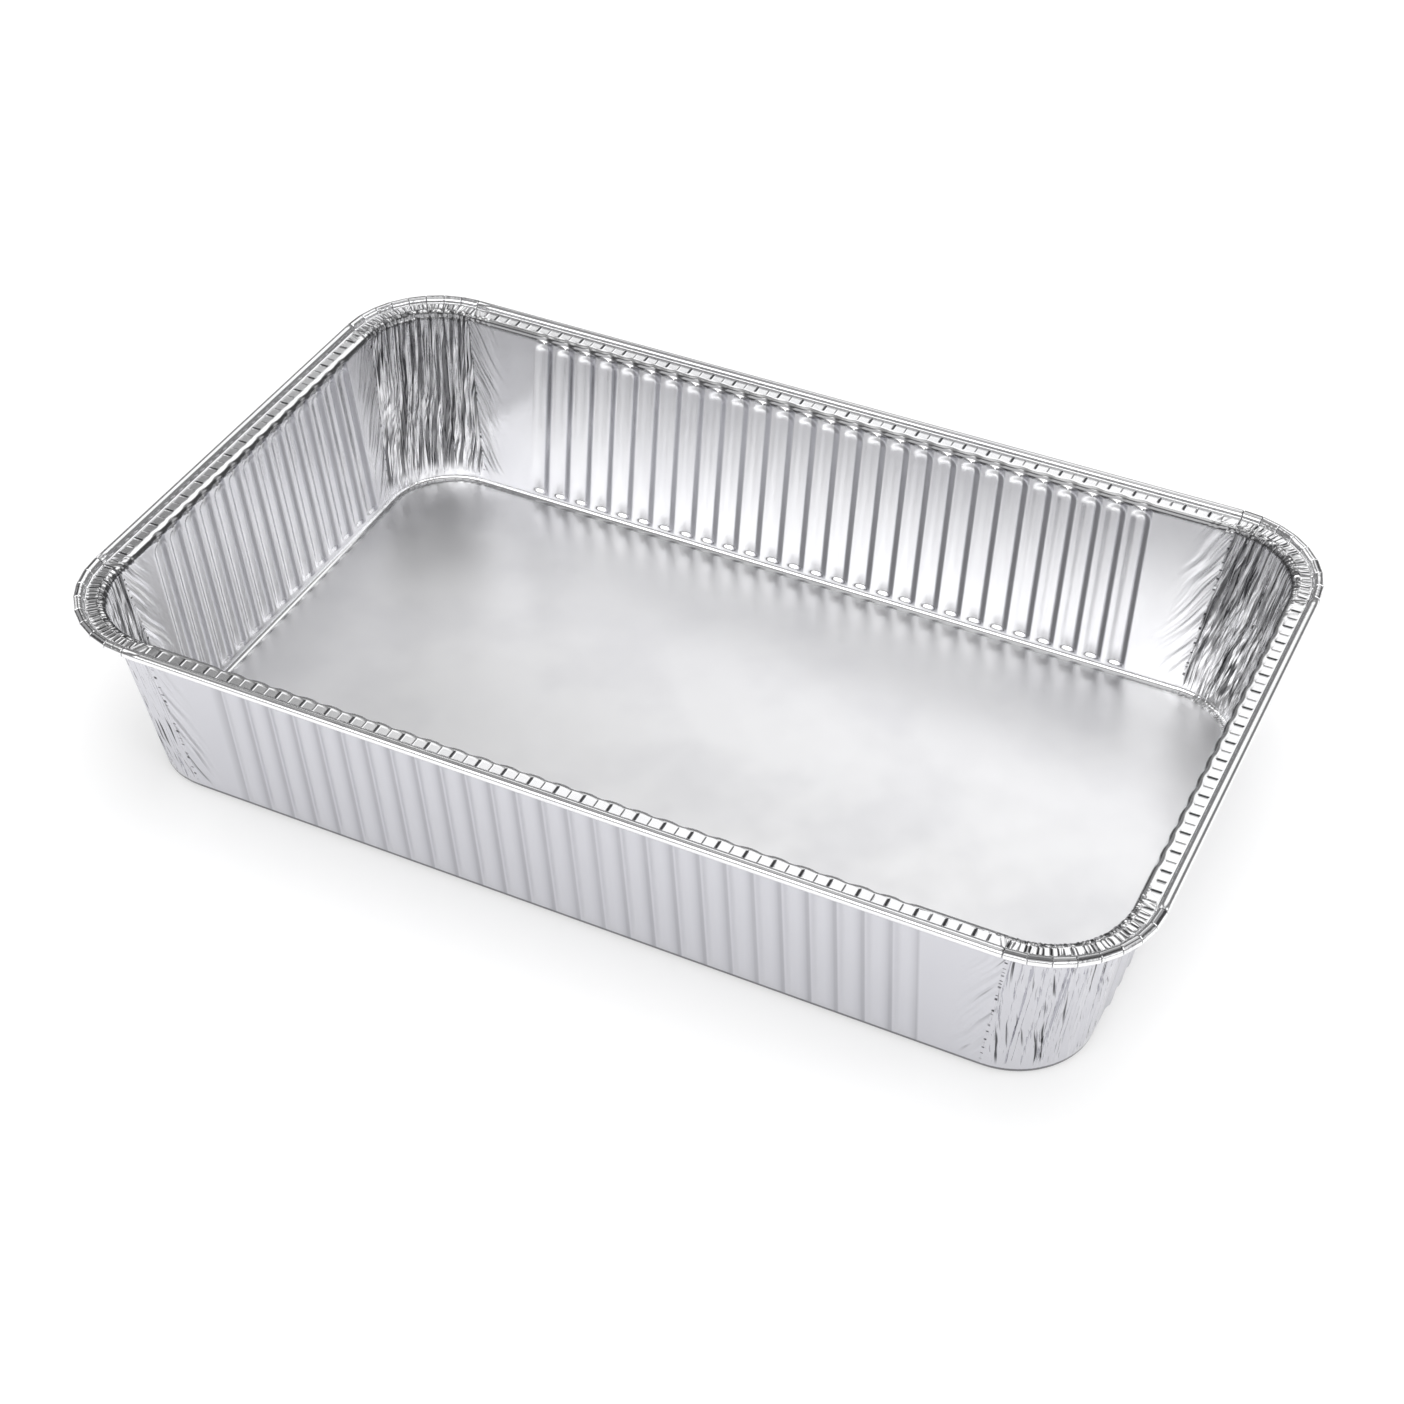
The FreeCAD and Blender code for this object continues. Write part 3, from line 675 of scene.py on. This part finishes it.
def foil_crease_group():
    """Fine creases of a corner and its fans: a height in metres, painted shade of the folds, painted dark
    streaks and the creased area.
    """
    group, at, leave = value_group("Foil creases", (("Turn", 0.5), ("Up", 0.05), ("Corner", 0.0)),
                                   ("Height", "Crease shade", "Streaks", "Creased"))
    turn, up, corner = at["Turn"], at["Up"], at["Corner"]

    def noise(x, y, z, detail=1.0):
        return noise_at(group, joined(group, x, y, z), detail)

    def marks(start, full, *place):
        """Crisp marks where noise is above the first number, full above the second."""
        return slope(group, noise(*place), start, full)

    # Corner, a little past its two edges: a leaning, swaying run of creases
    inside = slope(group, turn, -0.008, 0.010) * slope(group, turn, 1.008, 0.990)
    arc = turn * CREASE_TURN
    run = arc + up * 0.12 + (noise(arc * 40.0, up * 26.0, corner * 7.0) - 0.5) * 6.0 * MM
    fine = noise(run * 300.0, up * 17.0, corner * 11.0 + 3.0, 2.0) - 0.5
    finer = noise(run * 760.0, up * 70.0, corner * 5.0 + 9.0) - 0.5
    corner_height = (fine * 2.2 + finer * 0.6) * MM * inside
    # Painted shade: dark crease lines of the corner, in the colour only, not in the relief
    corner_folds = marks(0.62, 0.69, run * 560.0, up * 22.0, corner * 3.0 + 17.0) * inside
    # Painted reflection: dark streaks of the gathered corners, in the colour only
    streaks = marks(0.50, 0.56, run * 450.0, up * 11.0, corner * 3.0 + 41.0)
    streaks = streaks.maximum(marks(0.55, 0.60, run * 800.0, up * 24.0, corner * 3.0 + 51.0) * 0.8) * inside

    # Fans, which fade out along the plain wall
    outside, beyond = inside.rest(), past_corner(turn) * FAN_TURN
    fade = ramp(group, beyond, 26.0 * MM, 0.0)
    slant = up + beyond * (noise(up * 30.0, corner * 7.0, 2.0) * 2.4 + 0.9)
    fan = noise(slant * 105.0, beyond * 30.0, corner * 5.0 + 21.0)
    fan_height = (fan - 0.5) * 3.0 * MM * fade * fade * outside
    fan_crease_shade = marks(0.62, 0.69, slant * 170.0, beyond * 40.0, corner * 5.0 + 33.0)
    fan_crease_shade = fan_crease_shade * ramp(group, beyond, 13.0 * MM, 1.0 * MM) * outside * 0.8

    # Dotted line of painted shade, as of pinches, up each edge of a corner
    from_edge = turn.absolute().minimum((turn - 1.0).absolute()) * EDGE_TURN
    dots = marks(0.54, 0.60, up * 460.0, corner * 5.0, turn * 3.0)
    dots = dots * slope(group, from_edge, 0.9 * MM, 0.4 * MM)

    low_end = ramp(group, up, 1.0 * MM, 9.0 * MM)
    height = (corner_height + fan_height) * ramp(group, up, 0.0, 9.0 * MM, 0.3, 1.0)
    connect(group, height, leave.inputs["Height"])
    connect(group, corner_folds.maximum(fan_crease_shade).maximum(dots) * low_end, leave.inputs["Crease shade"])
    connect(group, streaks * low_end, leave.inputs["Streaks"])
    connect(group, inside, leave.inputs["Creased"])
    return group


def foil_material(look):
    material = bpy.data.materials.new("Rolled foil")
    material.use_nodes = True
    tree = material.node_tree
    shader = tree.nodes["Principled BSDF"]
    shader.inputs["Metallic"].default_value = 1.0

    def read(name):
        node = tree.nodes.new("ShaderNodeAttribute")
        node.attribute_name = name
        return Field(tree, node.outputs["Fac"])

    def blend(share_of, first, second):
        mix = tree.nodes.new("ShaderNodeMix")
        mix.data_type = "RGBA"
        for number, value in ((0, share_of), (6, first), (7, second)):
            connect(tree, value, mix.inputs[number])
        return mix.outputs[2]

    grain, creases = tree.nodes.new("ShaderNodeGroup"), tree.nodes.new("ShaderNodeGroup")
    grain.node_tree, creases.node_tree = foil_grain_group(), foil_crease_group()
    for label in ("Turn", "Up", "Corner"):
        connect(tree, read(label.lower()), creases.inputs[label])
    made = {socket.name: Field(tree, socket) for socket in (*creases.outputs, grain.outputs["Patches"])}
    crumple, inner, pinch = read("crumple"), read("inner"), read("pinch")

    # Colour: two skins, painted rib shade, duller patches, and all other painted shade
    # Painted shade along the ribs: darker between ribs outside and on one flank of each rib inside
    outside = blend(read("rib_shade"), (*look.satin, 1.0), (*look.rib_shade, 1.0))
    inside = blend(read("rib_shade") * -INNER_RIB_SHADE, (*look.bright, 1.0), (*look.rib_shade, 1.0))
    worn = blend(made["Patches"] * WORN, blend(inner, outside, inside), (*look.satin, 1.0))
    # Painted shade: dark lines in folds and pinched pleats, a dark line at the shoulder and the roll's corners
    # inside, one round the base's edge outside, and dark streaks in the gathered corners inside
    dark = (made["Crease shade"] * crumple).maximum(slope(tree, pinch, *PINCHED))
    dark = dark.maximum(slope(tree, read("shade"), *SHADED) * inner * look.shoulder_shade)
    dark = dark.maximum(slope(tree, read("shade") * -1.0, *SHADED) * inner.rest() * look.shoulder_shade)
    dark = dark.maximum(made["Streaks"] * slope(tree, crumple, *CORNER_WALL) * inner * look.streak_shade)
    tree.links.new(blend(dark * DARKEST, worn, (*look.fold_shade, 1.0)), shader.inputs["Base Color"])

    # Roughness
    at_base = slope(tree, read("up"), *AT_BASE)
    shiny = at_base * (look.base_roughness - look.bright_roughness) + look.bright_roughness
    plain = inner * (shiny - look.satin_roughness) + look.satin_roughness
    creased = made["Creased"].maximum(pinch.minimum(1.0)) * crumple
    drift = (Field(tree, grain.outputs["Satin"]) - 0.5) * ROUGHNESS_DRIFT
    roughness = plain + creased * (plain * -1.0 + look.crease_roughness) + drift
    connect(tree, roughness, shader.inputs["Roughness"])

    # Wrinkles
    wrinkles = made["Height"] * crumple * (2.0 * look.wrinkle)
    bump = tree.nodes.new("ShaderNodeBump")
    bump.inputs["Strength"].default_value = 1.0
    bump.inputs["Distance"].default_value = 1.0
    connect(tree, Field(tree, grain.outputs["Height"]) + wrinkles, bump.inputs["Height"])
    tree.links.new(bump.outputs["Normal"], shader.inputs["Normal"])
    return material


# Pressed sheet. What is needed only while the sheet is made doesn't stay on the finished piece

WORKING_VALUES = ("across", "fold", "in_corner", "rib_zone", "pleat", "near", "dip", "flange", "rim",
                  "shoulder", "on_wall", "rib_line", "flat", "fold_line", "push")
SHARP_ANGLE = math.radians(38)
SAME_PLACE, APART, SAME_HEIGHT = 1e-5, 1e-6, 1e-7
# How creased each zone is, where a wall is 1, how soon pleats come in from the flange's edges, how strong
# they are on the roll, and how far scallops reach over shoulder and wall
CRUMPLE = {"base": 0.0, "bend": 0.7, "flange": 0.45, "groove": 0.12, "roll": 0.12}
PLEAT_COMES_IN, ROLL_PLEAT = 6, 0.8
SCALLOP_TOP, SCALLOP_END, SCALLOP_AT_WALL, PAST_HEAD = 1.25, 0.9, 0.6, 1 * MM
# Shades, as places and strengths: by the share of shoulder and roll, and by the way up at the base's edge
SHOULDER_SHADE = ((0.25, 0.5, 0.75, 1), (1, 1, 0.2, 0))
ROLL_SHADE = ((0.20, 0.27, 0.43, 0.50), (0, 1, 1, 0))
BASE_SHADE, BASE_SHADE_TOP = ((-1.15 * MM, 0, 0.6 * MM, 1.4 * MM), (-1, -0.9, -0.5, 0)), 3 * MM


def relief_values(rows, index, given, full, relief):
    """What else each point carries: where the relief, the painted shade and the crisp lines are."""
    zones = np.array([rows[r].zone for r, _ in index])
    shares = np.array([rows[r].share for r, _ in index])
    up, dip, near, pleat, in_corner = (given[name] for name in ("up", "dip", "near", "pleat", "in_corner"))
    flange = (zones == "flange") * np.clip(np.minimum(shares, 1 - shares) * PLEAT_COMES_IN, 0, 1)
    rim = np.isin(zones, ("groove", "roll")) * 1.0
    at_head = np.abs(up - full) < SAME_HEIGHT
    below_heads = up < full - relief.head_gap - relief.rib_width / 2 + PAST_HEAD
    on_shoulder = np.clip(SCALLOP_TOP - shares, 0, 1) * (shares < SCALLOP_END)
    shades = [dip, np.interp(shares, *SHOULDER_SHADE), dip * in_corner * np.interp(shares, *ROLL_SHADE),
              np.interp(up, *BASE_SHADE)]
    return {
        "flange": flange,
        "rim": rim,
        "shoulder": np.where(zones == "shoulder", on_shoulder, at_head * SCALLOP_AT_WALL),
        "on_wall": (zones == "wall") * (in_corner < 0.5),
        "crumple": near * np.array([CRUMPLE.get(zone, 1.0) for zone in zones]),
        "rib_line": (zones == "wall") * (near < 0.5) * below_heads,
        "pinch": pleat * np.where(zones == "flange", flange, rim * ROLL_PLEAT * in_corner),
        "shade": np.select([at_head, zones == "shoulder", zones == "roll", up < BASE_SHADE_TOP], shades, 0.0),
        "flat": zones == "flange",
        "fold_line": in_corner * np.isin(zones, ("bend", "wall", "shoulder")),
    }


def plain_sheet(pan, relief):
    """Mesh of the sheet before anything is pressed into it, with its values, and the length of the wall."""
    rows, cols, full, places, pushes, values, index = sheet_points(pan, relief)
    mesh = bpy.data.meshes.new("plain_sheet")
    mesh.from_pydata([tuple(p) for p in places], [], sheet_faces(rows, cols, index))
    if mesh.validate():
        raise RuntimeError("the plain sheet had bad faces")
    given = dict(zip(VALUE_NAMES, values.T))
    for name, data in {**given, **relief_values(rows, index, given, full, relief)}.items():
        mesh.attributes.new(name, "FLOAT", "POINT").data.foreach_set("value", np.array(data, np.float32))
    push = mesh.attributes.new("push", "FLOAT_VECTOR", "POINT")
    push.data.foreach_set("vector", pushes.astype(np.float32).ravel())
    return mesh, full


def crisp_lines(mesh):
    """Smooth shading, but for the lines up the corners and ribs and across the flange."""
    def read(name):
        data = np.zeros(len(mesh.vertices), np.float32)
        mesh.attributes[name].data.foreach_get("value", data)
        return data

    mesh.polygons.foreach_set("use_smooth", [True] * len(mesh.polygons))
    mesh.set_sharp_from_angle(angle=SHARP_ANGLE)
    pairs = np.zeros(len(mesh.edges) * 2, np.int32)
    mesh.edges.foreach_get("vertices", pairs)
    a, b = pairs.reshape(-1, 2).T
    turn, across, corner, up = read("turn"), read("across"), read("corner"), read("up")
    upward = (np.abs(turn[a] - turn[b]) < SAME_PLACE) & (np.abs(across[a] - across[b]) < SAME_PLACE)
    upward &= (corner[a] == corner[b]) & (np.abs(up[a] - up[b]) > APART)
    lined = np.zeros(len(a), bool)
    for name in ("flat", "fold_line", "rib_line"):
        data = read(name) > 0.5
        lined |= data[a] & data[b]
    sharp = mesh.attributes.get("sharp_edge") or mesh.attributes.new("sharp_edge", "BOOLEAN", "EDGE")
    flags = np.zeros(len(a), bool)
    sharp.data.foreach_get("value", flags)
    sharp.data.foreach_set("value", flags | (upward & lined))


def mark_inner_skin(mesh, points):
    """Writes which of the sheet's two skins each point is on: the inner one is the higher."""
    spots = np.zeros(len(mesh.vertices) * 3, np.float32)
    mesh.vertices.foreach_get("co", spots)
    heights = spots.reshape(-1, 3)[:, 2]
    first = np.arange(len(heights)) < points
    inner = first if heights[first].sum() > heights[~first].sum() else ~first
    mesh.attributes.new("inner", "FLOAT", "POINT").data.foreach_set("value", inner.astype(np.float32))


class PAN_OT_pressed_sheet(bpy.types.Operator):
    """Press the pan out of one sheet of foil, with ribbed walls, gathered corners and a rolled edge"""
    bl_idname = "foil_pan.pressed_sheet"
    bl_label = "Pressed Sheet"

    def execute(self, context):
        pan, relief, look = (settings(context, name) for name in ("sizes", "relief", "look"))
        mesh, full = plain_sheet(pan, relief)
        points = len(mesh.vertices)
        sheet = bpy.data.objects.new("pressed_sheet", mesh)
        context.scene.collection.objects.link(sheet)
        tree, numbers = pressed_relief_tree(pan, relief, full)
        pressing = sheet.modifiers.new("Pressed relief", "NODES")
        pressing.node_group = tree
        set_inputs(pressing, tree, {**numbers, "Foil": foil_material(look)})
        thickness = sheet.modifiers.new("Foil thickness", "SOLIDIFY")
        thickness.thickness = pan.foil
        thickness.offset = 0.0
        thickness.use_even_offset = False
        depsgraph = context.evaluated_depsgraph_get()
        pressed = bpy.data.meshes.new_from_object(sheet.evaluated_get(depsgraph), depsgraph=depsgraph)
        bpy.data.objects.remove(sheet)
        if not pressed.polygons:
            raise RuntimeError("the sheet came out empty")
        crisp_lines(pressed)
        mark_inner_skin(pressed, points)
        for name in WORKING_VALUES:
            pressed.attributes.remove(pressed.attributes[name])
        pressed.name = "foil_sheet"
        piece = bpy.data.objects.new("foil_sheet", pressed)
        context.scene.collection.objects.link(piece)
        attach(piece, "root")
        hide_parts("foil_pan")
        return {"FINISHED"}


# Studio

CAMERA_PLACE = Vector((0.4118, -0.8637, 0.8515))
CAMERA_AZIMUTH, CAMERA_ELEVATION, CAMERA_ROLL = math.radians(25.48), math.radians(40.87), math.radians(0.50)
CAMERA_LENS, CAMERA_SENSOR = 66.83, 36.0
FLOOR_REACH = 9.0
FLOOR_GLOW = 1.04
# Lamps: place, what they point at, width and height
TOP_LAMP = ((0.2, 0.15, 2.2), (0, 0, 0), 2.4, 2.0)
SIDE_LAMP = ((1.9, -0.9, 1.3), (0, 0, 0.05), 1.2, 1.2)


def add_light(name, place, target, width, height, power):
    lamp = bpy.data.lights.new(name, "AREA")
    lamp.shape = "RECTANGLE"
    lamp.size, lamp.size_y = width, height
    lamp.energy = power
    holder = bpy.data.objects.new(name, lamp)
    holder.location = place
    holder.rotation_euler = (Vector(target) - Vector(place)).to_track_quat("-Z", "Y").to_euler()
    holder.visible_glossy = False
    bpy.context.scene.collection.objects.link(holder)


def floor_material(look):
    material = bpy.data.materials.new("Pale floor")
    material.use_nodes = True
    tree = material.node_tree
    shader = tree.nodes["Principled BSDF"]
    shader.inputs["Base Color"].default_value = (*look.floor, 1.0)
    shader.inputs["Roughness"].default_value = 0.9
    shader.inputs["Specular IOR Level"].default_value = 0.2
    glow = tree.nodes.new("ShaderNodeEmission")
    glow.inputs["Color"].default_value = (1, 1, 1, 1)
    glow.inputs["Strength"].default_value = FLOOR_GLOW
    path = tree.nodes.new("ShaderNodeLightPath")
    seen = Field(tree, path.outputs["Is Camera Ray"]).maximum(Field(tree, path.outputs["Is Glossy Ray"]))
    seen = seen.maximum(Field(tree, path.outputs["Is Transmission Ray"])) * look.glow
    mix = tree.nodes.new("ShaderNodeMixShader")
    tree.links.new(seen.socket, mix.inputs["Fac"])
    tree.links.new(shader.outputs[0], mix.inputs[1])
    tree.links.new(glow.outputs[0], mix.inputs[2])
    tree.links.new(mix.outputs[0], tree.nodes["Material Output"].inputs["Surface"])
    return material


# Soft panels of the room, in degrees: bearing from the front round to the right, half its width, height of
# its middle, half its height, soft border, and its strength
SOFT_PANELS = (
    (5, 40, 35, 15, 7, 1.75),
    (183, 29, 48, 14, 6, 1.02),
    (72, 11, 28, 16, 4, 1.6),
    (109, 9, 32, 18, 4, 1.4),
    (-100, 18, 36, 18, 6, 1.1),
    (0, 180, 90, 14, 12, 0.5),
)


def room_world(look):
    """A dim room with soft bright panels, so that the foil has something to mirror."""
    world = bpy.data.worlds.new("Studio room")
    world.use_nodes = True
    tree = world.node_tree
    background = tree.nodes["Background"]
    background.inputs["Strength"].default_value = 1.0
    place = tree.nodes.new("ShaderNodeTexCoord")
    split = tree.nodes.new("ShaderNodeSeparateXYZ")
    tree.links.new(place.outputs["Generated"], split.inputs[0])
    x, y, z = (Field(tree, socket) for socket in split.outputs)
    height = z.made("ARCSINE")
    level = None
    for *angles, strength in SOFT_PANELS:
        bearing, width, middle, tall, soft = (math.radians(v) for v in angles)
        ahead = x * math.sin(bearing) - y * math.cos(bearing)
        beside = x * math.cos(bearing) + y * math.sin(bearing)
        off_side = beside.made("ARCTAN2", ahead).absolute()
        off_height = (height - middle).absolute()
        panel = ramp(tree, off_side, width + soft, width) * ramp(tree, off_height, tall + soft, tall)
        level = panel * strength + (look.surround if level is None else level)
    colour_node = tree.nodes.new("ShaderNodeCombineColor")
    for socket in colour_node.inputs:
        connect(tree, level, socket)
    tree.links.new(colour_node.outputs[0], background.inputs["Color"])
    return world


def add_floor(scene, look):
    mesh = bpy.data.meshes.new("studio_floor")
    corners = [(-FLOOR_REACH, -FLOOR_REACH, 0), (FLOOR_REACH, -FLOOR_REACH, 0),
               (FLOOR_REACH, FLOOR_REACH, 0), (-FLOOR_REACH, FLOOR_REACH, 0)]
    mesh.from_pydata(corners, [], [(0, 1, 2, 3)])
    mesh.materials.append(floor_material(look))
    floor = bpy.data.objects.new("studio_floor", mesh)
    scene.collection.objects.link(floor)


def add_camera(scene):
    camera = bpy.data.cameras.new("Camera")
    camera.lens, camera.sensor_width = CAMERA_LENS, CAMERA_SENSOR
    sin_a, cos_a = math.sin(CAMERA_AZIMUTH), math.cos(CAMERA_AZIMUTH)
    sin_e, cos_e = math.sin(CAMERA_ELEVATION), math.cos(CAMERA_ELEVATION)
    back = Vector((sin_a * cos_e, -cos_a * cos_e, sin_e))
    level_right = Vector((cos_a, sin_a, 0))
    level_up = level_right.cross(-back)
    right = level_right * math.cos(CAMERA_ROLL) + level_up * math.sin(CAMERA_ROLL)
    turn = Matrix((right, back.cross(right), back)).transposed().to_4x4()
    holder = bpy.data.objects.new("Camera", camera)
    holder.matrix_world = Matrix.Translation(CAMERA_PLACE) @ turn
    scene.collection.objects.link(holder)
    scene.camera = holder


class STUDIO_OT_stage(bpy.types.Operator):
    """Set up the pale floor, the room, the soft lights and the camera"""
    bl_idname = "foil_pan.stage"
    bl_label = "Studio"

    def execute(self, context):
        look = settings(context, "studio")
        add_floor(context.scene, look)
        context.scene.world = room_world(look)
        add_light("Top light", *TOP_LAMP, look.top_light)
        add_light("Side light", *SIDE_LAMP, look.side_light)
        add_camera(context.scene)
        context.scene.view_settings.view_transform = "Standard"
        return {"FINISHED"}


class PAN_PT_sidebar(bpy.types.Panel):
    """Sizes, finishes and steps of the foil pan"""
    bl_idname = "PAN_PT_sidebar"
    bl_label = "Foil Pan"
    bl_space_type = "VIEW_3D"
    bl_region_type = "UI"
    bl_category = "Foil Pan"

    def draw(self, context):
        for name in GROUPS:
            box = self.layout.box()
            box.label(text=name.capitalize())
            group = settings(context, name)
            for key in group.bl_rna.properties.keys():
                if key not in ("rna_type", "name"):
                    box.prop(group, key)
        for operator in OPERATORS:
            self.layout.operator(operator.bl_idname)


GROUPS = {"sizes": PanSizes, "relief": PressedRelief, "look": FoilLook, "studio": StudioLook}
OPERATORS = (PAN_OT_pressed_sheet, STUDIO_OT_stage)


def register():
    for group in GROUPS.values():
        bpy.utils.register_class(group)
    for name, group in GROUPS.items():
        setattr(bpy.types.Scene, "foil_pan_" + name, PointerProperty(type=group))
    for operator in OPERATORS:
        bpy.utils.register_class(operator)
    bpy.utils.register_class(PAN_PT_sidebar)


def unregister():
    bpy.utils.unregister_class(PAN_PT_sidebar)
    for operator in reversed(OPERATORS):
        bpy.utils.unregister_class(operator)
    for name, group in GROUPS.items():
        delattr(bpy.types.Scene, "foil_pan_" + name)
        bpy.utils.unregister_class(group)


def main():
    register()
    bpy.ops.foil_pan.pressed_sheet()
    bpy.ops.foil_pan.stage()


if __name__ == "__main__":
    main()
